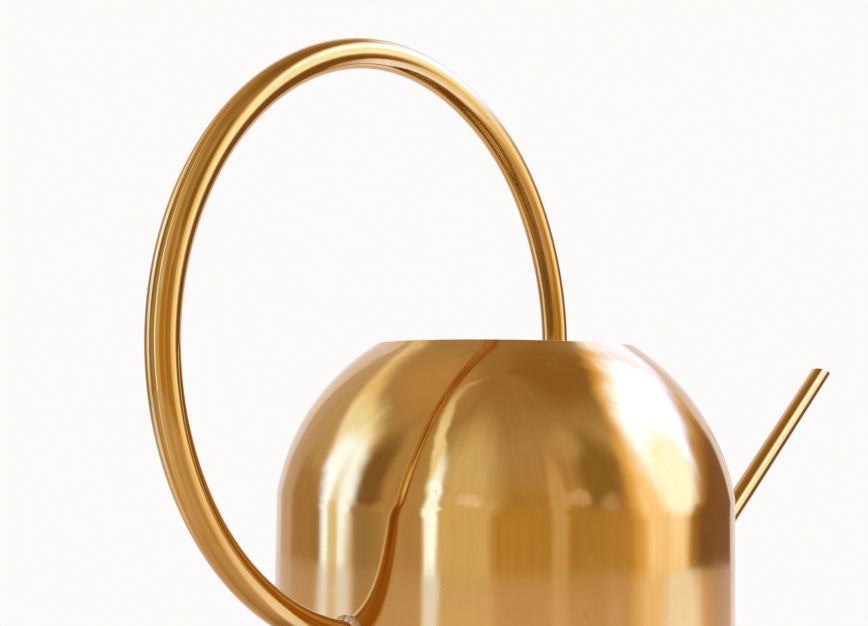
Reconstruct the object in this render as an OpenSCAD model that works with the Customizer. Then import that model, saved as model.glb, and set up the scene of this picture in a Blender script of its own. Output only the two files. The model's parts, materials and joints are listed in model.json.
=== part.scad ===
// Round-shouldered watering can with a full-circle hoop handle and a straight, slender spout.
// The foot stands on z = 0, the body's axis is the Z axis and the spout points along +X.
// Each sub-part is a piece of sheet, a piece of tube or a bead of filler that joins two of them.

/* [Body] */
// Outside diameter of the straight side
body_d = 140; // [130:1:150]
// Height from the foot's edge to the rim
body_h = 130; // [124:1:145]
// Thickness of the sheet that the body and base are made of
sheet_t = 0.8; // [0.6:0.1:1.2]
// Outside diameter of the mouth at the rim
mouth_d = 80; // [78:1:88]
// Radius of the shoulder's arc, seen from the side
shoulder_r = 66; // [60:1:70]
// Lean of the shoulder away from vertical at the crease where it meets the straight side
crease_lean = 8.8; // [0:0.1:14]
// Lean of the shoulder away from vertical at the rim, where it runs straight
rim_lean = 54.3; // [50:0.1:58]

/* [Base] */
// Height of the recessed base plate above the foot's edge
base_rise = 3; // [2:0.5:5]
// Width of the solder seam between the base plate and the side
seam_w = 1.6; // [1:0.1:2.5]

/* [Spout] */
// Outside diameter of the spout tube
spout_d = 8; // [7:0.5:10]
// Wall thickness of the spout tube
spout_t = 0.7; // [0.5:0.1:1]
// Height at which the spout's centre line leaves the side
spout_z = 13.5; // [13:0.5:20]
// Slope of the spout above the horizontal
spout_slope = 31.3; // [26:0.1:36]
// Length of the spout's centre line from the side to its tip
spout_len = 220; // [150:1:230]
// Length of tube that reaches inside the body, along the centre line
spout_in = 4.5; // [4:0.5:6]
// Angle of the tip's slanted cut, away from a square end
tip_cut = 40; // [0:1:50]

/* [Handle] */
// Diameter of the hoop, along the tube's centre line
hoop_d = 161.5; // [157:0.5:166]
// Distance of the hoop's centre behind the body's axis
hoop_back = 52.5; // [51:0.5:56]
// Distance of the hoop's centre below the rim
hoop_drop = 1.4; // [0:0.1:6]
// Outside diameter of the handle tube
handle_d = 8.3; // [7:0.1:10]
// Wall thickness of the handle tube
handle_t = 1; // [0.8:0.1:1.5]

/* [Welds] */
// Distance that a weld bead spreads over the side, away from the tube
weld_w = 1.9; // [1:0.1:2.5]
// Distance that a weld bead stands off the side
weld_h = 1.6; // [0.8:0.1:2]

/* [Hidden] */
$fn = 96;

body_r = body_d / 2;
inside_r = body_r - sheet_t;
mouth_r = mouth_d / 2;
spout_r = spout_d / 2;
hoop_r = hoop_d / 2;
handle_r = handle_d / 2;

// The shoulder's arc starts at the crease, and its last tangent runs on straight to the rim.
arc_r = body_r - shoulder_r * cos(crease_lean);
arc_top_r = arc_r + shoulder_r * cos(rim_lean);
arc_top_z = body_h - (arc_top_r - mouth_r) / tan(rim_lean);
arc_z = arc_top_z - shoulder_r * sin(rim_lean);
crease_z = arc_z + shoulder_r * sin(crease_lean);

// The hoop stands in the plane y = 0 and meets the side at hoop_turn from its lowest point.
hoop_z = body_h - hoop_drop;
hoop_turn = asin((body_r - hoop_back) / hoop_r);
joint_z = hoop_z - hoop_r * cos(hoop_turn);

// Lengths past every surface that a cut has to clear.
reach = 30;
far = 200;

// A flat ring between two radii, for a profile seen from the side.
module band_2d(outer, inner) {
    difference() {
        circle(r = outer);
        circle(r = inner);
    }
}

// A ring of space that stands around the body's axis, between two radii.
module side_layer(outer, inner, z, h) {
    translate([0, 0, z])
        difference() {
            cylinder(h = h, r = outer);
            translate([0, 0, -1])
                cylinder(h = h + 2, r = inner);
        }
}

// The hoop's solid core out to a tube radius, as a complete ring.
module hoop_ring(r) {
    translate([-hoop_back, 0, hoop_z])
        rotate([90, 0, 0])
            rotate_extrude()
                translate([hoop_r, 0])
                    circle(r = r);
}

// Places its children with +Z along the spout, away from the body, at the side's outside face.
module on_spout() {
    translate([body_r, 0, spout_z])
        rotate([0, 90 - spout_slope, 0])
            children();
}

// Places its children with +Z along the hoop where it meets the side, away from the body.
module on_joint() {
    translate([-body_r, 0, joint_z])
        rotate([0, hoop_turn - 90, 0])
            children();
}

// A rod along the spout that passes right through the side.
module spout_rod(r, h) {
    on_spout()
        translate([0, 0, -spout_in])
            cylinder(h = h, r = r);
}

// Half of the shoulder's sheet, seen from the side: the arc, then the straight run to the rim.
module shoulder_profile() {
    c = cos(rim_lean);
    s = sin(rim_lean);
    crease_h = crease_z - arc_z;
    intersection() {
        translate([arc_r, arc_z])
            band_2d(shoulder_r, shoulder_r - sheet_t);
        translate([arc_r, arc_z])
            polygon([[crease_h * c / s, crease_h], [far, crease_h], [far, far * s / c]]);
    }
    polygon([
        [arc_top_r, arc_top_z],
        [mouth_r, body_h],
        [mouth_r - sheet_t * c, body_h - sheet_t * s],
        [arc_top_r - sheet_t * c, arc_top_z - sheet_t * s]
    ]);
}

// Straight side: a rolled cylinder of sheet from the foot to the crease, with a hole for the spout.
module side_wall() {
    color([0.72, 0.50, 0.24])
        difference() {
            side_layer(body_r, inside_r, 0, crease_z);
            spout_rod(spout_r, reach);
        }
}

// Shoulder: a drawn dome that closes in to the open mouth, joined edge to edge to the side.
module shoulder() {
    color([0.74, 0.52, 0.25])
        rotate_extrude()
            shoulder_profile();
}

// Base plate: a recessed disc with its edge turned down to the foot, inside the side.
module base_plate() {
    color([0.66, 0.46, 0.22])
        difference() {
            cylinder(h = base_rise + sheet_t, r = inside_r);
            translate([0, 0, -1])
                cylinder(h = base_rise + 1, r = inside_r - sheet_t);
        }
}

// Solder seam in the corner between the base plate and the side, inside the can.
module base_seam() {
    seam_z = base_rise + sheet_t;
    color([0.60, 0.52, 0.40])
        rotate_extrude()
            polygon([
                [inside_r, seam_z],
                [inside_r, seam_z + seam_w],
                [inside_r - seam_w, seam_z]
            ]);
}

// Straight spout tube, set through the side, with its tip cut on the slant to face upwards.
module spout_tube() {
    tip_half = spout_r * tan(tip_cut);
    color([0.74, 0.52, 0.26])
        difference() {
            spout_rod(spout_r, spout_in + spout_len + tip_half);
            on_spout()
                translate([0, 0, -spout_in - 1])
                    cylinder(h = far * 2, r = spout_r - spout_t);
            on_spout()
                translate([0, 0, spout_len])
                    rotate([0, -tip_cut, 0])
                        translate([-reach, -reach, 0])
                            cube([2 * reach, 2 * reach, reach]);
        }
}

// Bead that joins the spout to the outside of the side.
module spout_weld() {
    color([0.62, 0.42, 0.20])
        difference() {
            intersection() {
                side_layer(body_r + weld_h, body_r, 1, 2 * spout_z);
                spout_rod(spout_r + weld_w, reach);
            }
            spout_rod(spout_r, reach);
        }
}

// Hoop handle: one bent tube whose two ends butt against the side, one outside and one inside.
module handle_hoop() {
    color([0.76, 0.54, 0.26])
        difference() {
            hoop_ring(handle_r);
            hoop_ring(handle_r - handle_t);
            side_layer(body_r, inside_r, joint_z - reach / 2, reach);
        }
}

// Bead around the hoop's end, in one layer of space on either face of the side.
module handle_bead(outer, inner) {
    color([0.62, 0.42, 0.20])
        difference() {
            intersection() {
                side_layer(outer, inner, joint_z - reach / 2, reach);
                on_joint()
                    translate([0, 0, -reach / 2])
                        cylinder(h = reach, r = handle_r + weld_w);
            }
            hoop_ring(handle_r);
        }
}

// Bead that joins the hoop's outer end to the outside of the side.
module handle_outer_weld() {
    handle_bead(body_r + weld_h, body_r);
}

// Bead that joins the hoop's inner end to the inside of the side.
module handle_inner_weld() {
    handle_bead(inside_r, inside_r - weld_h);
}

side_wall();
shoulder();
base_plate();
base_seam();
spout_tube();
spout_weld();
handle_hoop();
handle_outer_weld();
handle_inner_weld();
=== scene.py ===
"""Looks for a brass watering can with a hoop handle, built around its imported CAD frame.

Lengths are metres in the CAD frame: the foot stands on z = 0, the body's axis is Z and the spout
points along +X. One closed mesh stands for each CAD node. Every sheet of a mesh carries exact
normals, so that polished metal mirrors the room without facets.
"""

import json
import math

import bpy
import numpy as np
from mathutils import Euler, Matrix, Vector, noise


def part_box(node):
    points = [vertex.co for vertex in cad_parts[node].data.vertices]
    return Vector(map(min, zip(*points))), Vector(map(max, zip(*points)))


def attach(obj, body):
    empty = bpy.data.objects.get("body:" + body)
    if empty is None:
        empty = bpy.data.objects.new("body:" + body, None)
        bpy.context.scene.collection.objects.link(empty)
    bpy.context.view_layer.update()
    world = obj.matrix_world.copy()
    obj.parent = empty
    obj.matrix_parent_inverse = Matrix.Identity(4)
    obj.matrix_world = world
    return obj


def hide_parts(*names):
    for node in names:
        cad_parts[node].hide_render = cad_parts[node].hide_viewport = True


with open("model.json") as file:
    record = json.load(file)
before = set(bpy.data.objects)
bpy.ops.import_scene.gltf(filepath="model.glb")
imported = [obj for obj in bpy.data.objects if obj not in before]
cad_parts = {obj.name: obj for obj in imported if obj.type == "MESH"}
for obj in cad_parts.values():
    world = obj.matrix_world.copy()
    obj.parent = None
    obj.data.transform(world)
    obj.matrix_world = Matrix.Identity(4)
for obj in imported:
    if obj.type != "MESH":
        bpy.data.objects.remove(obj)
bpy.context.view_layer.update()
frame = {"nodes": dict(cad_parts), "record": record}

MM = 0.001
TURN = 2 * math.pi


# ---------------------------------------------------------------- sizes, from the frame


def low(node):
    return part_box(node)[0]


def high(node):
    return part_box(node)[1]


def cad_points(node):
    """The corners of a CAD node's mesh, as rows of x, y and z."""
    return np.array([v.co for v in frame["nodes"][node].data.vertices])


def mount(name):
    """The place, direction and sizes of one of the record's mounts."""
    found = next(m for m in frame["record"]["mounts"] if m["name"] == name)
    return np.array(found["pos_m"]), np.array(found["axis"]), found["dims"]


BODY_R = high("side_wall").x
CREASE_Z = high("side_wall").z
RIM_Z = high("shoulder").z
INSIDE_R = high("base_plate").x
SHEET = BODY_R - INSIDE_R
shoulder_points = cad_points("shoulder")
top_ring = shoulder_points[shoulder_points[:, 2] > RIM_Z - 0.01 * MM]
MOUTH_R = float(np.hypot(top_ring[:, 0], top_ring[:, 1]).mean())

# The shoulder's lean away from vertical at the crease and at the rim.
CREASE_LEAN = math.radians(8.8)
RIM_LEAN = math.radians(54.3)
# The radius of the arc that joins those two leans between the crease and the rim.
SHOULDER_R = (RIM_Z - CREASE_Z - (BODY_R - MOUTH_R) / math.tan(RIM_LEAN)) / (
    math.sin(RIM_LEAN)
    - math.sin(CREASE_LEAN)
    - (math.cos(CREASE_LEAN) - math.cos(RIM_LEAN)) / math.tan(RIM_LEAN)
)
ARC_R = BODY_R - SHOULDER_R * math.cos(CREASE_LEAN)
ARC_Z = CREASE_Z - SHOULDER_R * math.sin(CREASE_LEAN)

PLATE_TOP = high("base_plate").z
PLATE_UNDER = PLATE_TOP - SHEET
SEAM_W = high("base_seam").z - PLATE_TOP

bore_middle, SPOUT_WAY, bore_dims = mount("spout_bore")
SPOUT_WAY = SPOUT_WAY / np.linalg.norm(SPOUT_WAY)
SPOUT_R = high("spout_tube").y
BORE_R = bore_dims["r_mm"] * MM
# Where the spout's centre line leaves the side, and the spout's own upward and sideways directions.
SPOUT_ROOT = bore_middle + SPOUT_WAY * (BODY_R - bore_middle[0]) / SPOUT_WAY[0]
SPOUT_UP = np.array([-SPOUT_WAY[2], 0, SPOUT_WAY[0]])
SPOUT_SIDE = np.array([0.0, 1.0, 0.0])
TIP_CUT = math.radians(40)  # the tip's slant away from a square end
spout_along = (cad_points("spout_tube") - SPOUT_ROOT) @ SPOUT_WAY
SPOUT_START = float(spout_along.min())
SPOUT_END = float(spout_along.max()) - SPOUT_R * math.tan(TIP_CUT)

HANDLE_R = high("handle_hoop").y
HANDLE_WALL = 1.0 * MM  # thickness of the tube's wall
HOOP_R = (high("handle_hoop").x - low("handle_hoop").x) / 2 - HANDLE_R
HOOP_X = (high("handle_hoop").x + low("handle_hoop").x) / 2
HOOP_Z = high("handle_hoop").z - HOOP_R - HANDLE_R
# Where the tube was bent a little flat or a little full: middle and half-length in degrees from
# the hoop's lowest point, and how far it strays outwards.
HOOP_STRAYS = ((138, 54, -0.85 * MM), (224, 26, 0.45 * MM))

# How far each weld bead spreads over the side, and how far it stands off the side.
SPOUT_BEAD_W = high("spout_weld").y - SPOUT_R
HANDLE_BEAD_W = high("handle_outer_weld").y - HANDLE_R
BEAD_H = -BODY_R - low("handle_outer_weld").x

EDGE = 0.22 * MM  # rounding of a sheet's cut edge
AROUND = 288  # columns round the body
ROUND_TUBE = 72  # columns round a tube


# ---------------------------------------------------------------- meshes


def unit(vectors):
    return vectors / np.linalg.norm(vectors, axis=-1, keepdims=True)


def between(start, end, t):
    return start + (end - start) * t


def grid_normals(points):
    """Normals of a sheet from its own points. Its columns run all the way round."""
    ring = points[:, :-1]
    across = np.roll(ring, -1, axis=1) - np.roll(ring, 1, axis=1)
    along = np.gradient(points, axis=0)[:, :-1]
    normals = unit(np.cross(across, along))
    return np.concatenate([normals, normals[:, :1]], axis=1)


class Skin:
    """A closed mesh gathered from sheets of quads, each with its own normals and grain."""

    WELD = 1e-7
    OFFSET = 0.3172  # keeps round numbers off the edge between two weld cells

    def __init__(self):
        self.points, self.normals, self.grains = [], [], []
        self.quads, self.finishes = [], []
        self.count = 0

    def sheet(self, points, normals, grain=None, finish=0):
        """Adds rows and columns of points. Quads turn to face the way the normals point.

        The grain gives the polishing lines' coordinates where they differ from the points, and the
        finish picks one of the piece's materials.
        """
        points = np.asarray(points, float)
        normals = unit(np.broadcast_to(normals, points.shape).astype(float))
        rows, columns = points.shape[:2]
        index = np.arange(rows * columns).reshape(rows, columns)
        quads = np.stack([index[:-1, :-1], index[:-1, 1:], index[1:, 1:], index[1:, :-1]], -1)
        quads = quads.reshape(-1, 4)
        flat, facing = points.reshape(-1, 3), normals.reshape(-1, 3)
        a, b, c, d = (flat[quads[:, k]] for k in range(4))
        if (np.cross(c - a, d - b) * facing[quads].mean(axis=1)).sum() < 0:
            quads = quads[:, ::-1]
        self.points.append(flat)
        self.normals.append(facing)
        self.grains.append(flat if grain is None else np.asarray(grain).reshape(-1, 3))
        self.quads.append(quads + self.count)
        self.finishes.append(np.full(len(quads), finish))
        self.count += rows * columns

    def piece(self, name, node, slot, *materials):
        """Welds the sheets into one object that stands for a CAD node."""
        points, normals = np.concatenate(self.points), np.concatenate(self.normals)
        quads, finishes = np.concatenate(self.quads), np.concatenate(self.finishes)
        # Points that share a cell become one, so that neighbouring sheets join up.
        cells = np.round(points / self.WELD + self.OFFSET).astype(np.int64)
        _, first, welded = np.unique(cells, axis=0, return_index=True, return_inverse=True)
        welded = welded.reshape(-1)
        faces, corners, face_finish = [], [], []
        for quad, finish in zip(quads, finishes):
            ring = [k for i, k in enumerate(quad) if welded[k] != welded[quad[i - 1]]]
            if len(ring) > 2:
                faces.append([int(welded[k]) for k in ring])
                corners.extend(ring)
                face_finish.append(int(finish))
        mesh = bpy.data.meshes.new(name)
        mesh.from_pydata(points[first].tolist(), [], faces)
        mesh.polygons.foreach_set("use_smooth", [True] * len(faces))
        mesh.polygons.foreach_set("material_index", face_finish)
        grain = mesh.attributes.new("grain", "FLOAT_VECTOR", "POINT")
        grain.data.foreach_set("vector", np.concatenate(self.grains)[first].ravel())
        mesh.normals_split_custom_set(normals[corners].tolist())
        for material in materials:
            mesh.materials.append(material)
        made = bpy.data.objects.new(name, mesh)
        bpy.context.scene.collection.objects.link(made)
        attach(made, "root")
        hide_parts(node)
        return made


# Profiles are rows of r, z and the normal's r and z, with the metal on the left of the way along.


def straight(start, end, steps=1):
    start, end = np.array(start), np.array(end)
    way = unit(end - start)
    spots = [between(start, end, t) for t in np.linspace(0, 1, steps + 1)]
    return np.array([[*spot, way[1], -way[0]] for spot in spots])


def turn(centre, radius, start, end, steps):
    """An arc between two angles in degrees, from +r towards +z. Going backwards makes it hollow."""
    side = 1 if end > start else -1
    angles = np.radians(np.linspace(start, end, steps + 1))
    return np.array(
        [
            [
                centre[0] + radius * math.cos(a),
                centre[1] + radius * math.sin(a),
                side * math.cos(a),
                side * math.sin(a),
            ]
            for a in angles
        ]
    )


def lean(profile, row, angle):
    """Gives one row of a profile a normal of its own, as the angle above level."""
    sign = 1 if profile[row][2] > 0 else -1
    profile[row][2:] = sign * math.cos(angle), sign * math.sin(angle)


def revolve(skin, profile, angles, finish=0):
    """Turns a profile about the body's axis through the given angles."""
    r, z, normal_r, normal_z = (profile[:, k : k + 1] for k in range(4))
    cos, sin = np.cos(angles), np.sin(angles)
    points = np.stack([r * cos, r * sin, z + 0 * cos], axis=-1)
    normals = np.stack([normal_r * cos, normal_r * sin, normal_z + 0 * cos], axis=-1)
    skin.sheet(points, normals, finish=finish)


def foot_edge(inner, outer):
    """The rounded lower edge of an upright sheet that stands on z = 0."""
    return np.concatenate(
        [turn((inner + EDGE, EDGE), EDGE, 180, 270, 4), turn((outer - EDGE, EDGE), EDGE, 270, 360, 4)]
    )


# ---------------------------------------------------------------- places on the spout and the hoop


def tube_ring(angle):
    """Cosine and sine of the angles round a tube."""
    return np.cos(angle), np.sin(angle)


def on_spout(radius, angle, along):
    """A point beside the spout's centre line. Angle 0 is the spout's upper side."""
    cos, sin = tube_ring(angle)
    offset = (radius * cos)[..., None] * SPOUT_UP + (radius * sin)[..., None] * SPOUT_SIDE
    return SPOUT_ROOT + offset + np.asarray(along)[..., None] * SPOUT_WAY


def spout_meets(radius, angle, wall_r):
    """How far along the spout a line on its shell crosses an upright cylinder."""
    start = on_spout(radius, angle, 0 * angle)
    return (np.sqrt(wall_r**2 - start[..., 1] ** 2) - start[..., 0]) / SPOUT_WAY[0]


def hoop_bend(swing):
    """How far the hand-bent hoop strays outside its true circle, by the swing along it."""
    stray = 0.0 * swing
    for middle, half, amount in HOOP_STRAYS:
        off = np.clip((swing - math.radians(middle)) / math.radians(half), -1, 1)
        stray = stray + amount * np.cos(off * math.pi / 2) ** 2
    return stray


def on_hoop(radius, angle, swing):
    """A point beside the hoop's centre line, which swings from its lowest point towards -X."""
    cos, sin = tube_ring(angle)
    far = HOOP_R + hoop_bend(swing) + radius * cos
    x = HOOP_X - far * np.sin(swing)
    z = HOOP_Z - far * np.cos(swing)
    return np.stack(np.broadcast_arrays(x, radius * sin, z), axis=-1)


def hoop_meets(radius, angle, wall_r):
    """The swing at which a line on the hoop's shell crosses the back of an upright cylinder.

    The hoop keeps to its true circle there.
    """
    cos, sin = tube_ring(angle)
    x = -np.sqrt(wall_r**2 - (radius * sin) ** 2)
    return np.arcsin((HOOP_X - x) / (HOOP_R + radius * cos))


def straightened(radius, angle, along):
    """Grain coordinates for a tube: its cross-section, and the length along it as the third."""
    cos, sin = tube_ring(angle)
    return np.stack(np.broadcast_arrays(radius * cos, radius * sin, along), axis=-1)


# ---------------------------------------------------------------- the pieces

CREASE_SOFT = 2.0 * MM  # how far the buffed crease eases into the sheet on either side
WINDOW_ARC = 9 * MM  # half the width of the net that surrounds the spout's hole
WINDOW_STEPS = 8
BEAD_RIPPLES = 15  # swellings round one bead, each left by a touch of the torch
NOISE_GAIN = 1.8  # brings Blender's noise up to about -1 to 1


def side_angles():
    """Columns across the spout's net, and round the rest of the side."""
    half = WINDOW_ARC / BODY_R
    net = np.linspace(-half, half, 2 * WINDOW_STEPS + 1)
    rest = np.linspace(half, TURN - half, AROUND - 2 * WINDOW_STEPS + 1)
    return net, rest


def net_round_hole(skin, wall_r, heights, net, facing, finish):
    """Fills the window in one face of the side with rings that close in on the spout's hole."""
    level = np.full(len(net), heights[0])
    top = np.full(len(net), heights[-1])
    upright = np.full(len(heights), net[-1])
    # The window's border as angle and height, anticlockwise seen from outside.
    border = np.concatenate(
        [
            np.stack([net, level], 1)[:-1],
            np.stack([upright, heights], 1)[:-1],
            np.stack([net[::-1], top], 1)[:-1],
            np.stack([-upright, heights[::-1]], 1),
        ]
    )
    border_way = np.arctan2(border[:, 1] - SPOUT_ROOT[2], BODY_R * border[:, 0])
    angles = np.linspace(0, TURN, 721)
    outline = on_spout(SPOUT_R, angles, spout_meets(SPOUT_R, angles, BODY_R))
    outline_across = BODY_R * np.arctan2(outline[:, 1], outline[:, 0])
    outline_way = np.arctan2(outline[:, 2] - SPOUT_ROOT[2], outline_across)
    order = np.argsort(outline_way)
    spread = np.interp(border_way, outline_way[order], np.unwrap(angles[order]))
    hole = on_spout(SPOUT_R, spread, spout_meets(SPOUT_R, spread, wall_r))
    hole = np.stack([np.arctan2(hole[:, 1], hole[:, 0]), hole[:, 2]], 1)
    # The rings crowd together towards the hole.
    rings = [between(hole, border, t) for t in np.linspace(0, 1, 7) ** 1.5]
    at = np.array(rings)
    cos, sin = np.cos(at[..., 0]), np.sin(at[..., 0])
    points = np.stack([wall_r * cos, wall_r * sin, at[..., 1]], axis=-1)
    normals = facing * np.stack([cos, sin, 0 * cos], axis=-1)
    skin.sheet(points, normals, finish=finish)
    return spread


def side_wall(outside, inside):
    """Straight side: rolled sheet from the foot to the crease, with the spout's hole through it.

    Its normals start to lean towards the shoulder a little below the crease.
    """
    skin = Skin()
    net, rest = side_angles()
    whole = np.concatenate([net, rest[1:]])
    centre = SPOUT_ROOT[2]
    heights = np.linspace(centre - WINDOW_ARC, centre + WINDOW_ARC, 2 * WINDOW_STEPS + 1)
    for wall_r, finish, facing in ((BODY_R, 0, 1), (INSIDE_R, 1, -1)):
        foot = straight((wall_r, EDGE), (wall_r, heights[0]), 1)
        middle = straight((wall_r, heights[0]), (wall_r, heights[-1]), 2 * WINDOW_STEPS)
        upper = straight((wall_r, heights[-1]), (wall_r, CREASE_Z - CREASE_SOFT), 10)
        ease = straight((wall_r, CREASE_Z - CREASE_SOFT), (wall_r, CREASE_Z), 3)
        for row, share in enumerate(np.linspace(0, 0.5, 4)):
            lean(ease, row, CREASE_LEAN * share)
        for profile, angles in ((foot, whole), (middle, rest), (upper, whole), (ease, whole)):
            profile = profile.copy()
            profile[:, 2:] *= facing
            revolve(skin, profile, angles, finish)
        spread = net_round_hole(skin, wall_r, heights, net, facing, finish)
    revolve(skin, foot_edge(INSIDE_R, BODY_R), whole)
    revolve(skin, straight((BODY_R, CREASE_Z), (INSIDE_R, CREASE_Z)), whole)
    through = [
        on_spout(SPOUT_R, spread, spout_meets(SPOUT_R, spread, wall_r)) for wall_r in (BODY_R, INSIDE_R)
    ]
    cos, sin = tube_ring(spread)
    inward = -(cos[:, None] * SPOUT_UP + sin[:, None] * SPOUT_SIDE)
    skin.sheet(through, [inward, inward])
    return skin.piece("rolled_side", "side_wall", "body", outside, inside)


def shoulder(outside, inside, edge):
    """Shoulder: a drawn dome from the crease to the open rim, cut square to itself there.

    The cut edge and its rounded corners have a lighter colour: partly rubbed bare metal, partly a
    painted highlight line along the rim.
    """
    skin = Skin()
    angles = np.concatenate([side_angles()[0], side_angles()[1][1:]])
    crease, rim = math.degrees(CREASE_LEAN), math.degrees(RIM_LEAN)
    sheet_way = np.array([-math.sin(RIM_LEAN), math.cos(RIM_LEAN)])
    through = np.array([-math.cos(RIM_LEAN), -math.sin(RIM_LEAN)])
    lip = np.array([MOUTH_R, RIM_Z])
    inner_lip = lip + through * SHEET
    ease = math.degrees(CREASE_SOFT / SHOULDER_R)
    centre = (ARC_R, ARC_Z)
    arc_top = np.array([ARC_R, ARC_Z]) - through * SHOULDER_R
    inner_r = SHOULDER_R - SHEET
    # On the inside, the sheet meets the joint's level face a little further round its own arc.
    inner_crease = math.degrees(math.asin((CREASE_Z - ARC_Z) / inner_r))
    start = turn(centre, SHOULDER_R, crease, crease + ease, 3)
    for row, share in enumerate(np.linspace(0.5, 1, 4)):
        lean(start, row, CREASE_LEAN * share + math.radians(ease) * row / 3)
    revolve(skin, start, angles)
    revolve(skin, turn(centre, SHOULDER_R, crease + ease, rim, 24), angles)
    revolve(skin, straight(arc_top, lip - sheet_way * EDGE, 5), angles)
    middle = lip + (through - sheet_way) * EDGE
    # Finish 2, the lighter edge colour, is partly worn metal and partly a painted highlight along the
    # rim.
    revolve(skin, turn(middle, EDGE, rim, rim + 90, 5), angles, 2)
    revolve(skin, straight(lip + through * EDGE, inner_lip - through * EDGE), angles, 2)
    middle = inner_lip - (through + sheet_way) * EDGE
    revolve(skin, turn(middle, EDGE, rim + 90, rim + 180, 5), angles, 2)
    inner_top = arc_top + through * SHEET
    revolve(skin, straight(inner_lip - sheet_way * EDGE, inner_top, 5), angles, 1)
    revolve(skin, turn(centre, inner_r, rim, inner_crease, 24), angles, 1)
    inner_foot = ARC_R + inner_r * math.cos(math.radians(inner_crease))
    revolve(skin, straight((inner_foot, CREASE_Z), (BODY_R, CREASE_Z)), angles)
    return skin.piece("domed_shoulder", "shoulder", "body", outside, inside, edge)


def base_plate(outside, inside):
    """Base plate: a recessed disc, its edge bent down to the foot inside the side."""
    skin = Skin()
    angles = np.linspace(0, TURN, AROUND + 1)
    flange_r = INSIDE_R - SHEET
    inner_bend, outer_bend = 0.9 * MM, 0.9 * MM + SHEET
    under = (flange_r - inner_bend, PLATE_UNDER)
    over = (INSIDE_R - outer_bend, PLATE_TOP)
    revolve(skin, straight((0, PLATE_UNDER), under, 12), angles)
    revolve(skin, turn((under[0], PLATE_UNDER - inner_bend), inner_bend, 90, 0, 6), angles)
    revolve(skin, straight((flange_r, PLATE_UNDER - inner_bend), (flange_r, EDGE), 2), angles)
    revolve(skin, foot_edge(flange_r, INSIDE_R), angles)
    revolve(skin, straight((INSIDE_R, EDGE), (INSIDE_R, PLATE_TOP - outer_bend), 2), angles)
    revolve(skin, turn((over[0], PLATE_TOP - outer_bend), outer_bend, 0, 90, 8), angles)
    revolve(skin, straight(over, (0, PLATE_TOP), 12), angles, 1)
    return skin.piece("base_disc", "base_plate", "base", outside, inside)


def uneven(angle, lumps, seed):
    """Smooth, repeatable unevenness round a joint, between about -1 and 1."""
    radius = lumps / TURN
    spots = [Vector((radius * math.cos(a), radius * math.sin(a), seed)) for a in np.ravel(angle)]
    return np.reshape([noise.noise(spot) * NOISE_GAIN for spot in spots], np.shape(angle))


def base_seam(material):
    """Solder seam: an uneven hollow fillet in the corner between the base plate and the side."""
    skin = Skin()
    angles = np.linspace(0, TURN, AROUND + 1)
    size = SEAM_W * (0.86 + 0.14 * uneven(angles, 70, 4.3))
    cos, sin = np.cos(angles), np.sin(angles)

    def ring(inward, upward):
        r = INSIDE_R - inward
        return np.stack([r * cos, r * sin, PLATE_TOP + upward + 0 * cos], axis=-1)

    sweep = np.radians(np.linspace(0, 90, 9))
    fillet = np.array([ring(size * (1 - math.sin(a)), size * (1 - math.cos(a))) for a in sweep])
    normals = grid_normals(fillet)
    skin.sheet(fillet, normals * np.sign(normals[4, 0, 2]))
    corner = ring(0 * size, 0 * size)
    skin.sheet([fillet[0], corner], (0, 0, -1))
    skin.sheet([corner, fillet[-1]], np.stack([cos, sin, 0 * cos], axis=-1))
    return skin.piece("solder_seam", "base_seam", "solder", material)


def bevel(start, corner, end, normal_start, normal_end, steps=4):
    """Rows that round a corner between two surfaces, from start to end."""
    rows, normals = [], []
    for t in np.linspace(0, 1, steps + 1):
        rows.append((1 - t) ** 2 * start + 2 * t * (1 - t) * corner + t**2 * end)
        normals.append(unit((1 - t) * normal_start + t * normal_end))
    return np.array(rows), np.array(normals)


def spout_tube(outside, inside):
    """Spout: a straight tube through the side, its tip cut on the slant to face upwards."""
    skin = Skin()
    angle = np.linspace(0, TURN, ROUND_TUBE + 1)
    cos, sin = tube_ring(angle)
    out = cos[:, None] * SPOUT_UP + sin[:, None] * SPOUT_SIDE
    cut = unit(SPOUT_WAY * math.cos(TIP_CUT) + SPOUT_UP * math.sin(TIP_CUT)) + 0 * out
    tail = -SPOUT_WAY + 0 * out
    edge = 0.16 * MM

    def at_tip(radius):
        return SPOUT_END - radius * cos * math.tan(TIP_CUT)

    def ring(radius, along):
        return on_spout(radius, angle, along + 0 * angle)

    def wall(radius, facing, finish):
        steps = np.linspace(0, 1, 41)[:, None]
        along = between(SPOUT_START + edge, at_tip(radius) - edge, steps)
        grain = straightened(radius, angle, along)
        points = on_spout(radius, angle + 0 * along, along)
        skin.sheet(points, facing * out + 0 * points, grain, finish)

    wall(SPOUT_R, 1, 0)
    wall(BORE_R, -1, 1)
    for radius, facing in ((SPOUT_R, 1), (BORE_R, -1)):
        inset = radius - facing * edge
        for along, step, face in ((at_tip(radius), -edge, cut), (SPOUT_START + 0 * cos, edge, tail)):
            end = ring(inset, at_tip(inset) if face is cut else along)
            skin.sheet(*bevel(ring(radius, along + step), ring(radius, along), end, facing * out, face))
    for face, end in ((cut, at_tip), (tail, lambda radius: SPOUT_START + 0 * cos)):
        rims = [ring(r, end(r)) for r in (SPOUT_R - edge, BORE_R + edge)]
        skin.sheet(rims, np.array([face, face]))
    return skin.piece("spout_pipe", "spout_tube", "spout", outside, inside)


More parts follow.
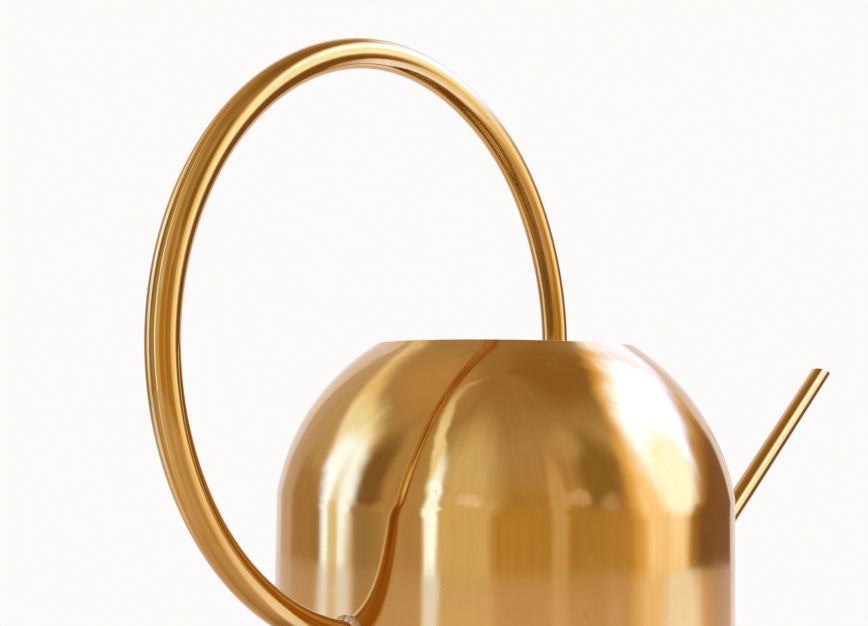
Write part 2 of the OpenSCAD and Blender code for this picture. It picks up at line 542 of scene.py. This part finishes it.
def handle_hoop(outside, inside):
    """Hoop: one bent tube from the outside of the side, over the mouth and down to its inside."""
    skin = Skin()
    angle = np.linspace(0, TURN, ROUND_TUBE + 1)
    steps = np.linspace(0, 1, 361)[:, None]
    cos, sin = tube_ring(angle)
    ends = {}
    for radius, facing, finish in ((HANDLE_R, 1, 0), (HANDLE_R - HANDLE_WALL, -1, 1)):
        first = hoop_meets(radius, angle, BODY_R)
        last = TURN + hoop_meets(radius, angle, INSIDE_R)
        swing = between(first, last, steps)
        points = on_hoop(radius, angle + 0 * swing, swing)
        normals = np.stack([-cos * np.sin(swing), sin + 0 * swing, -cos * np.cos(swing)], axis=-1)
        skin.sheet(points, facing * normals, straightened(radius, angle, swing * HOOP_R), finish)
        ends[radius] = points[0], points[-1]
    # Both ends are coped to the side. The outer one faces the body's axis, the inner one the wall.
    for end, facing in ((0, 1), (1, -1)):
        rims = np.array([ends[radius][end] for radius in ends])
        skin.sheet(rims, facing * unit(rims * (1, 1, 0)) * (-1, -1, 1))
    return skin.piece("hoop_pipe", "handle_hoop", "handle", outside, inside)


def bead(name, node, material, at, meets, radius, width, height, wall_r, seed):
    """A filler bead round a tube where it meets the side.

    Its height is signed and has the units that meets works in: metres along the spout, radians
    round the hoop.
    """
    skin = Skin()
    angle = np.linspace(0, TURN, 2 * ROUND_TUBE + 1)
    # Ripples run from 0 to 1 and come at slightly uneven distances. The bead's height and width
    # vary with them, each as a share of its full size.
    ripple = 0.5 + 0.5 * np.cos(angle * BEAD_RIPPLES + 1.6 * uneven(angle, 9, seed))
    swell = 0.80 + 0.12 * uneven(angle, 7, seed + 3) + 0.14 * ripple
    spread = 0.88 + 0.12 * uneven(angle, 8, seed + 7) + 0.06 * ripple
    foot_r = radius + width * spread
    foot = at(foot_r, angle, meets(foot_r, angle, wall_r))
    root = meets(radius, angle, wall_r)
    corner = at(radius, angle, root)
    top = at(radius, angle, root + height * swell)
    bulge = (1.22 + 0.22 * ripple + 0.12 * uneven(angle, 11, seed + 11))[:, None]
    control = corner + bulge * ((foot + top) / 2 - corner)
    steps = np.linspace(0, 1, 13)
    rows = [(1 - t) ** 2 * foot + 2 * t * (1 - t) * control + t**2 * top for t in steps]
    rows = np.array(rows)
    normals = grid_normals(rows)
    outward = rows[6] - corner
    if (normals[6] * outward).sum() < 0:
        normals = -normals
    skin.sheet(rows, normals)
    skin.sheet([foot, corner], -unit(top - corner)[None] + 0 * np.array([foot, corner]))
    skin.sheet([corner, top], -unit(foot - corner)[None] + 0 * np.array([corner, top]))
    return skin.piece(name, node, "weld", material)


# ---------------------------------------------------------------- node helpers


def node(tree, kind, inputs=None, **settings):
    """Adds a shader node. Inputs are given by name or place, as numbers or as links."""
    made = tree.nodes.new(kind)
    for name, value in settings.items():
        setattr(made, name, value)
    for key, value in (inputs or {}).items():
        if isinstance(value, bpy.types.NodeSocket):
            tree.links.new(value, made.inputs[key])
        else:
            made.inputs[key].default_value = value
    return made


def maths(tree, operation, *values):
    return node(tree, "ShaderNodeMath", dict(enumerate(values)), operation=operation).outputs[0]


def mapped(tree, value, low_in, high_in, low_out=0.0, high_out=1.0, smooth=False):
    made = node(
        tree,
        "ShaderNodeMapRange",
        {0: value, 1: low_in, 2: high_in, 3: low_out, 4: high_out},
        interpolation_type="SMOOTHSTEP" if smooth else "LINEAR",
    )
    return made.outputs[0]


def blend(tree, factor, first, second):
    """Mixes two colours, each a link or red, green and blue."""
    made = node(tree, "ShaderNodeMix", data_type="RGBA")
    for key, value in ((0, factor), (6, first), (7, second)):
        if isinstance(value, bpy.types.NodeSocket):
            tree.links.new(value, made.inputs[key])
        else:
            made.inputs[key].default_value = (*value, 1) if key else value
    return made.outputs[2]


def shaded(tree, colour, grey):
    """A colour made darker or lighter by a number, either of them a link."""
    made = node(tree, "ShaderNodeVectorMath", {0: colour, 3: grey}, operation="SCALE")
    return made.outputs[0]


def cloud(tree, where, scale, detail=3.0, rough=0.5, distortion=0.0):
    inputs = {"Vector": where, "Scale": scale, "Detail": detail, "Roughness": rough}
    inputs["Distortion"] = distortion
    return node(tree, "ShaderNodeTexNoise", inputs).outputs[0]


def stretched(tree, where, scale, rotation=(0, 0, 0)):
    inputs = {"Vector": where, "Scale": scale, "Rotation": [math.radians(a) for a in rotation]}
    return node(tree, "ShaderNodeMapping", inputs).outputs[0]


def raised(tree, height, distance, normal=None):
    """A bump on top of another normal, its full height given in metres."""
    inputs = {"Height": height, "Distance": distance, "Strength": 1.0}
    if normal is not None:
        inputs["Normal"] = normal
    return node(tree, "ShaderNodeBump", inputs).outputs[0]


# ---------------------------------------------------------------- metals

ROUND_BODY = (30, 30, 2600)  # polishing lines that run round the body
ALONG_TUBE = (1500, 1500, 12)  # drawing lines that run along a tube
ALL_WAYS = (700, 700, 700)
SCRATCH_LEAST = 0.1  # how strongly scratches show away from the rim
SCRATCH_TINT = (0.90, 0.72, 0.46)  # bare metal in a scratch
WEAR_BELOW = 14 * MM  # scratches start to show this far below the rim
WEAR_FULL = 4 * MM  # and show in full from here up


def scratches(tree, where, seed):
    """Short hairline scratches that run several ways: 1 on a line and 0 elsewhere."""
    total = None
    for patchy, turn_by in ((47, (12, 25, 40)), (61, (70, -35, 15)), (53, (-40, 60, 80))):
        lines = stretched(tree, where, (320, 60, 60), tuple(a + seed for a in turn_by))
        across = maths(tree, "SUBTRACT", cloud(tree, lines, 1.0, 1.0), 0.5)
        hair = mapped(tree, maths(tree, "ABSOLUTE", across), 0.0, 0.018, 1, 0)
        patch = mapped(tree, cloud(tree, where, patchy, 2.0), 0.57, 0.66)
        mark = maths(tree, "MULTIPLY", hair, patch)
        total = mark if total is None else maths(tree, "MAXIMUM", total, mark)
    return total


def brass(
    name, light, dark, rough, grain, seed, anisotropic=0.0, wave=0.03, metal=1.0, rim_wear=SCRATCH_LEAST
):
    """Worked metal: patchy tarnish, fine grain, smudges, hairline scratches and slow waves.

    Light and dark are the clean and the tarnished colour, and rough is the roughness where it is
    cleanest and where it is smudged. Grain is how often the polishing lines come in each direction
    of the piece's grain coordinates, and wave is the height of the slow waves in millimetres. Rim
    wear is how strongly the scratches show beside the rim.
    """
    material = bpy.data.materials.new(name)
    material.use_nodes = True
    tree = material.node_tree
    tree.nodes.clear()
    where = node(tree, "ShaderNodeAttribute", attribute_name="grain").outputs["Vector"]
    # Where each kind of mark lies.
    lines = cloud(tree, stretched(tree, where, grain), 1.0, 2.0, 0.6)
    patches = cloud(tree, where, 24.0 + seed, 5.0, 0.62, 0.6)
    spots = mapped(tree, cloud(tree, where, 260.0 + 7 * seed, 3.0, 0.6), 0.66, 0.74)
    smudge = mapped(tree, cloud(tree, where, 41.0 + seed, 4.0, 0.55, 1.2), 0.42, 0.66, smooth=True)
    height = node(tree, "ShaderNodeSeparateXYZ", {0: where}).outputs[2]
    worn = mapped(tree, height, RIM_Z - WEAR_BELOW, RIM_Z - WEAR_FULL, SCRATCH_LEAST, rim_wear)
    marks = maths(tree, "MULTIPLY", scratches(tree, where, seed), worn)

    # Tarnish darkens the patches and the spots, and the lines vary it a little.
    tarnish = mapped(tree, patches, 0.35, 0.68, 0.0, 0.75)
    tarnish = maths(tree, "ADD", tarnish, mapped(tree, lines, 0.3, 0.7, -0.10, 0.10))
    tarnish = maths(tree, "ADD", tarnish, maths(tree, "MULTIPLY", spots, 0.5))
    colour = blend(tree, node(tree, "ShaderNodeClamp", {0: tarnish}).outputs[0], light, dark)
    colour = blend(tree, maths(tree, "MULTIPLY", marks, 0.7), colour, SCRATCH_TINT)

    # Smudges, lines, scratches and spots all spread the shine.
    roughness = mapped(tree, smudge, 0, 1, rough[0], rough[1])
    roughness = maths(tree, "ADD", roughness, mapped(tree, lines, 0.3, 0.7, -0.012, 0.012))
    roughness = maths(tree, "ADD", roughness, maths(tree, "MULTIPLY", marks, 0.18))
    roughness = maths(tree, "ADD", roughness, maths(tree, "MULTIPLY", spots, 0.12))

    # Relief: slow waves in the sheet, then the polishing lines, then the scratches cut in.
    normal = raised(tree, cloud(tree, where, 36.0 + seed, 1.0), wave * MM)
    normal = raised(tree, lines, 0.0012 * MM, normal)
    normal = raised(tree, marks, -0.004 * MM, normal)

    shader = node(
        tree,
        "ShaderNodeBsdfPrincipled",
        {"Base Color": colour, "Metallic": metal, "Roughness": roughness, "Normal": normal},
    )
    if anisotropic:
        # The polishing runs round the body, so its highlights draw out up and down.
        shader.inputs["Anisotropic"].default_value = anisotropic
        shader.inputs["Anisotropic Rotation"].default_value = 0.25
        tangent = node(tree, "ShaderNodeTangent", direction_type="RADIAL", axis="Z")
        tree.links.new(tangent.outputs[0], shader.inputs["Tangent"])
    out = node(tree, "ShaderNodeOutputMaterial")
    tree.links.new(shader.outputs[0], out.inputs[0])
    return material


# ---------------------------------------------------------------- the stage

# The camera stands at this bearing from the body's axis, measured from +X.
CAMERA_BEARING = math.radians(-144.1)
CAMERA_AWAY = 379.07 * MM
CAMERA_UP = 113.7 * MM
# Where it looks, in degrees: the heading from +X, the rise and the roll.
LOOK_HEADING = 39.287
LOOK_UP = 3.956
LOOK_ROLL = 0.764

FLOOR_R = 0.54
FLOOR_SEEN = (0.17, 0.25)  # the camera sees the floor fade into the backdrop between these
FLOOR_PLAIN = (0.362, 0.376, 0.376)  # as the camera sees it, level with the backdrop
FLOOR_UNDER = (0.56, 0.505, 0.60)  # as the metal sees it, under its gloss
FLOOR_GLOSS = 0.60  # how much the gloss mirrors of the room, at the low angle the metal sees it
BACKDROP = (0.965, 0.956, 0.939)  # what the camera sees behind the can
DOME = (0.75, 0.70, 0.70)  # the even light that falls on matt surfaces


def floor():
    """A pale round table top that the can stands on. Its gloss shows in the can's own reflection."""
    rings = [0.0, *np.linspace(0.05, FLOOR_R, 12)]
    angles = np.linspace(0, TURN, 96, endpoint=False)
    points = [(0.0, 0.0, 0.0)]
    points += [(r * math.cos(a), r * math.sin(a), 0.0) for r in rings[1:] for a in angles]
    count = len(angles)
    faces = [(0, 1 + k, 1 + (k + 1) % count) for k in range(count)]
    for ring in range(len(rings) - 2):
        base = 1 + ring * count
        for k in range(count):
            after = (k + 1) % count
            faces.append((base + k, base + count + k, base + count + after, base + after))
    mesh = bpy.data.meshes.new("floor")
    mesh.from_pydata(points, [], faces)
    made = bpy.data.objects.new("floor", mesh)
    bpy.context.scene.collection.objects.link(made)

    material = bpy.data.materials.new("pale_floor")
    material.use_nodes = True
    tree = material.node_tree
    tree.nodes.clear()
    where = node(tree, "ShaderNodeTexCoord").outputs["Object"]
    away = node(tree, "ShaderNodeVectorMath", {0: where}, operation="LENGTH").outputs["Value"]
    grey = mapped(tree, cloud(tree, where, 9.0, 4.0), 0, 1, 0.97, 1.03)
    plain = node(tree, "ShaderNodeBsdfDiffuse", {0: shaded(tree, FLOOR_PLAIN, grey)}).outputs[0]
    under = node(tree, "ShaderNodeBsdfDiffuse", {0: shaded(tree, FLOOR_UNDER, grey)}).outputs[0]
    over = node(tree, "ShaderNodeBsdfAnisotropic", {"Roughness": 0.05}).outputs[0]
    gloss = node(tree, "ShaderNodeMixShader", {0: FLOOR_GLOSS, 1: under, 2: over}).outputs[0]
    clear = node(tree, "ShaderNodeBsdfTransparent").outputs[0]
    seen = node(tree, "ShaderNodeLightPath").outputs["Is Camera Ray"]
    faded = mapped(tree, away, *FLOOR_SEEN, smooth=True)
    faint = node(tree, "ShaderNodeMixShader", {0: faded, 1: plain, 2: clear}).outputs[0]
    mixed = node(tree, "ShaderNodeMixShader", {0: seen, 1: gloss, 2: faint})
    out = node(tree, "ShaderNodeOutputMaterial")
    tree.links.new(mixed.outputs[0], out.inputs[0])
    mesh.materials.append(material)
    return made


# The room's own colour at each height above the horizon, in degrees.
ROOM = (
    (-20, (0.64, 0.44, 0.16)),
    (14, (0.61, 0.42, 0.17)),
    (20, (0.55, 0.39, 0.17)),
    (24, (0.57, 0.44, 0.28)),
    (45, (0.56, 0.46, 0.36)),
    (65, (0.48, 0.36, 0.26)),
    (90, (0.45, 0.31, 0.20)),
)

# Soft panels that stand round the can, painted in this order over the room. Each has a bearing
# and a height of its middle, half a width and half a height, all in degrees, then how square it
# is, how soft its edge is as a share of its size, and its colour. The bearing is 0 towards the
# camera and grows towards the right of its view.
PANELS = {
    "dim ceiling": (110, 72, 60, 18, 2.0, 0.50, (0.36, 0.23, 0.10)),
    "lit ceiling": (-95, 66, 50, 14, 2.0, 0.50, (0.66, 0.49, 0.36)),
    "left window": (-150, 0, 73, 48, 2.7, 0.10, (1.06, 1.02, 0.90)),
    "left pane": (-101, 21, 23, 22, 2.4, 0.30, (1.24, 1.52, 2.10)),
    "left sky": (-92, 10, 15, 23, 2.6, 0.25, (1.42, 2.25, 6.00)),
    "left post": (-90, -14, 3.2, 30, 3.0, 0.55, (1.02, 1.15, 1.40)),
    "left wall": (-150, 0, 48, 41, 2.2, 0.07, (0.67, 0.57, 0.52)),
    "left cupboard": (-114, -4, 15, 18, 3.0, 0.25, (0.50, 0.36, 0.24)),
    "left corner": (-70, 21, 9, 20, 2.0, 0.60, (0.29, 0.20, 0.12)),
    "left shade": (-67, -8, 11, 13, 3.0, 0.30, (0.45, 0.36, 0.29)),
    "plaster": (-50, 6, 12, 38, 3.0, 0.35, (0.60, 0.48, 0.37)),
    "pale glow": (-18, 27, 14, 29, 2.0, 0.70, (0.87, 0.86, 0.88)),
    "pale wall": (-18.5, 0, 13, 24, 4.0, 0.20, (0.88, 0.83, 0.74)),
    "strip window": (-34.4, 0, 3.9, 70, 6.0, 0.35, (1.18, 1.40, 1.90)),
    "strip sky": (-34.2, 4, 3.2, 29, 4.0, 0.35, (1.45, 2.35, 6.20)),
    "pale window": (-16.5, 17.5, 6.5, 3.2, 4.0, 0.20, (1.02, 1.09, 1.60)),
    "light post": (26.5, 8, 3.6, 27, 3.0, 0.40, (0.79, 0.65, 0.53)),
    "door": (39, 2, 8.5, 12.5, 4.0, 0.12, (0.56, 0.39, 0.16)),
    "leaves": (51, 29, 12, 19, 2.0, 0.45, (0.35, 0.245, 0.11)),
    "lit sill": (34, 18.5, 9.5, 2.8, 3.0, 0.25, (0.77, 0.65, 0.61)),
    "lit leaf": (53.5, 13, 5, 6, 2.4, 0.40, (0.62, 0.51, 0.48)),
    "upper gleam": (39, 45, 8, 8, 2.0, 0.60, (0.63, 0.52, 0.43)),
    "window frame": (115, 12, 52, 47.5, 2.3, 0.07, (1.02, 0.76, 0.36)),
    "right window": (115, 12, 46.5, 43.5, 2.3, 0.08, (1.34, 1.32, 1.45)),
    "right sky": (113, 31, 33, 21, 2.4, 0.25, (1.60, 2.80, 8.50)),
    "sky edge": (97, 16, 15, 19, 2.6, 0.35, (1.45, 2.10, 4.20)),
    "lit chair": (138, 3, 32, 24, 1.7, 0.25, (0.94, 0.82, 0.82)),
    "chair": (134, -8, 36, 29, 1.6, 0.14, (0.68, 0.45, 0.18)),
    "chair back": (135, -10, 31, 26, 1.7, 0.20, (0.28, 0.16, 0.09)),
    "backdrop": (180, 0, 34, 42, 4.0, 0.05, (0.90, 0.86, 0.93)),
    "far sky": (155, 37, 12, 14, 2.4, 0.30, (1.38, 1.80, 3.60)),
}
ROOM_STREAKS = (0.93, 1.07)  # faint upright streaks in the room's brightness
ROOM_STRAY = 3.5  # how far, in degrees, a panel's outline can wander
STRIP_LEAN = 29  # how far the strip window leans left of its foot by 75 degrees up


def room_light():
    """The world: a pale backdrop for the camera, an even dome for the floor, a room for metal."""
    world = bpy.data.worlds.new("studio")
    bpy.context.scene.world = world
    world.use_nodes = True
    world.cycles.sampling_method = "NONE"  # so that every kind of ray meets only its own light
    tree = world.node_tree
    tree.nodes.clear()
    way = node(tree, "ShaderNodeTexCoord").outputs["Generated"]
    turn_back = {"Vector": way, "Angle": -CAMERA_BEARING}
    turned = node(tree, "ShaderNodeVectorRotate", turn_back, rotation_type="Z_AXIS").outputs[0]
    axes = node(tree, "ShaderNodeSeparateXYZ", {0: turned})
    bearing = maths(tree, "ARCTAN2", axes.outputs[1], axes.outputs[0])
    bearing = maths(tree, "DEGREES", bearing)
    up = maths(tree, "DEGREES", maths(tree, "ARCSINE", axes.outputs[2]))
    streaks = node(tree, "ShaderNodeCombineXYZ", {0: bearing, 1: maths(tree, "MULTIPLY", up, 0.1)})
    streaks = mapped(tree, cloud(tree, streaks.outputs[0], 0.35, 3.0), 0.3, 0.7, *ROOM_STREAKS)
    # Nothing in a real room is drawn with a ruler, so the panels' outlines wander a little.
    stray = node(tree, "ShaderNodeTexNoise", {"Vector": turned, "Scale": 7.0, "Detail": 4.0})
    stray = node(tree, "ShaderNodeSeparateXYZ", {0: stray.outputs["Color"]})
    aside, above = (mapped(tree, stray.outputs[k], 0, 1, -ROOM_STRAY, ROOM_STRAY) for k in range(2))
    bearing = maths(tree, "ADD", bearing, aside)
    up = maths(tree, "ADD", up, above)

    ramp = node(tree, "ShaderNodeValToRGB", {0: mapped(tree, up, -90, 90)})
    stops = ramp.color_ramp.elements
    while len(stops) < len(ROOM):
        stops.new(0.5)
    for stop, (height, colour) in zip(stops, ROOM):
        stop.position = (height + 90) / 180
        stop.color = (*colour, 1)
    colour = ramp.outputs[0]
    lean_by = maths(tree, "POWER", mapped(tree, up, 0, 75), 3)
    leaning = maths(tree, "MULTIPLY_ADD", lean_by, STRIP_LEAN, bearing)
    for name, (middle, height, wide, tall, square, soft, tint) in PANELS.items():
        start = leaning if name == "strip window" else bearing
        off = maths(tree, "WRAP", maths(tree, "SUBTRACT", start, middle), 180, -180)
        off = maths(tree, "DIVIDE", maths(tree, "ABSOLUTE", off), wide)
        over = maths(tree, "ABSOLUTE", maths(tree, "SUBTRACT", up, height))
        over = maths(tree, "DIVIDE", over, tall)
        off = maths(tree, "POWER", off, square)
        over = maths(tree, "POWER", over, square)
        distance = maths(tree, "POWER", maths(tree, "ADD", off, over), 1 / square)
        inside = mapped(tree, distance, 1 + soft, 1 - soft, smooth=True)
        colour = blend(tree, inside, colour, tint)
    colour = shaded(tree, colour, streaks)

    # Each kind of ray meets its own light.
    path = node(tree, "ShaderNodeLightPath")
    colour = blend(tree, path.outputs["Is Diffuse Ray"], colour, DOME)
    colour = blend(tree, path.outputs["Is Camera Ray"], colour, BACKDROP)
    out = node(tree, "ShaderNodeOutputWorld")
    tree.links.new(node(tree, "ShaderNodeBackground", {0: colour}).outputs[0], out.inputs[0])


# Soft round lamps that only matt surfaces see: bearing from the camera, distance, height and
# size in metres, power in watts.
LAMPS = {
    "window_lamp": (100, 0.8, 0.75, 0.7, 6.0),
    "ceiling_lamp": (150, 0.08, 1.0, 0.25, 15.0),
}


def lamps():
    """Lights the matt surfaces: the floor and the inside of the can."""
    for name, (bearing, away, height, size, power) in LAMPS.items():
        lamp = bpy.data.lights.new(name, "AREA")
        lamp.shape = "DISK"
        lamp.size = size
        lamp.energy = power
        lamp.color = (1.0, 0.97, 0.94)
        made = bpy.data.objects.new(name, lamp)
        heading = CAMERA_BEARING + math.radians(bearing)
        made.location = (away * math.cos(heading), away * math.sin(heading), height)
        made.rotation_euler = (-Vector(made.location)).to_track_quat("-Z", "Y").to_euler()
        made.visible_glossy = False
        made.visible_camera = False
        bpy.context.scene.collection.objects.link(made)


def camera():
    """A 50 mm view from a little above the shoulder, looking slightly up past the can."""
    data = bpy.data.cameras.new("view")
    data.lens = 50
    data.sensor_width = 36
    made = bpy.data.objects.new("view", data)
    made.location = (
        CAMERA_AWAY * math.cos(CAMERA_BEARING),
        CAMERA_AWAY * math.sin(CAMERA_BEARING),
        CAMERA_UP,
    )
    turned = Euler((0, 0, math.radians(LOOK_HEADING - 90))).to_matrix()
    turned = turned @ Euler((math.radians(90 + LOOK_UP), 0, 0)).to_matrix()
    turned = turned @ Euler((0, 0, math.radians(LOOK_ROLL))).to_matrix()
    made.rotation_euler = turned.to_euler()
    data.clip_start = 0.01
    bpy.context.scene.collection.objects.link(made)
    bpy.context.scene.camera = made


# ---------------------------------------------------------------- putting it together


def build():
    polished = brass(
        "polished_brass", (0.72, 0.44, 0.135), (0.66, 0.385, 0.10), (0.065, 0.11), ROUND_BODY, 0, 0.45,
        rim_wear=1.0,
    )
    dull = brass("dull_brass", (0.72, 0.46, 0.18), (0.60, 0.36, 0.12), (0.20, 0.34), ROUND_BODY, 3)
    drawn = brass(
        "drawn_brass", (0.66, 0.375, 0.09), (0.58, 0.32, 0.07), (0.06, 0.11), ALONG_TUBE, 5, wave=0.006
    )
    filler = brass(
        "filler_brass", (0.70, 0.48, 0.26), (0.46, 0.28, 0.12), (0.12, 0.26), ALL_WAYS, 9, wave=0.02
    )
    solder = brass(
        "grey_solder", (0.56, 0.51, 0.43), (0.38, 0.33, 0.27), (0.30, 0.45), ALL_WAYS, 11, wave=0.05
    )
    satin = brass(
        "satin_inside", (0.94, 0.84, 0.68), (0.86, 0.73, 0.54), (0.24, 0.36), ROUND_BODY, 7, metal=0.5
    )
    # The rim's cut edge is lighter than the polished body: partly rubbed bare metal, partly a painted
    # highlight line.
    rubbed_and_highlit_edge = brass(
        "rubbed_edge_and_painted_highlight", (0.90, 0.70, 0.44), (0.80, 0.56, 0.28), (0.24, 0.34), ROUND_BODY, 13, wave=0.01
    )
    side_wall(polished, satin)
    shoulder(polished, satin, rubbed_and_highlit_edge)
    base_plate(dull, satin)
    base_seam(solder)
    spout_tube(drawn, dull)
    handle_hoop(drawn, dull)
    bead(
        "spout_bead", "spout_weld", filler, on_spout, spout_meets,
        SPOUT_R, SPOUT_BEAD_W, BEAD_H, BODY_R, 2.1,
    )
    for name, cad, wall_r, side in (
        ("hoop_outer_bead", "handle_outer_weld", BODY_R, 1),
        ("hoop_inner_bead", "handle_inner_weld", INSIDE_R, -1),
    ):
        height = side * BEAD_H / HOOP_R
        bead(name, cad, filler, on_hoop, hoop_meets, HANDLE_R, HANDLE_BEAD_W, height, wall_r, 5.7 + side)


build()
floor()
room_light()
lamps()
camera()
bpy.context.scene.view_settings.view_transform = "Standard"
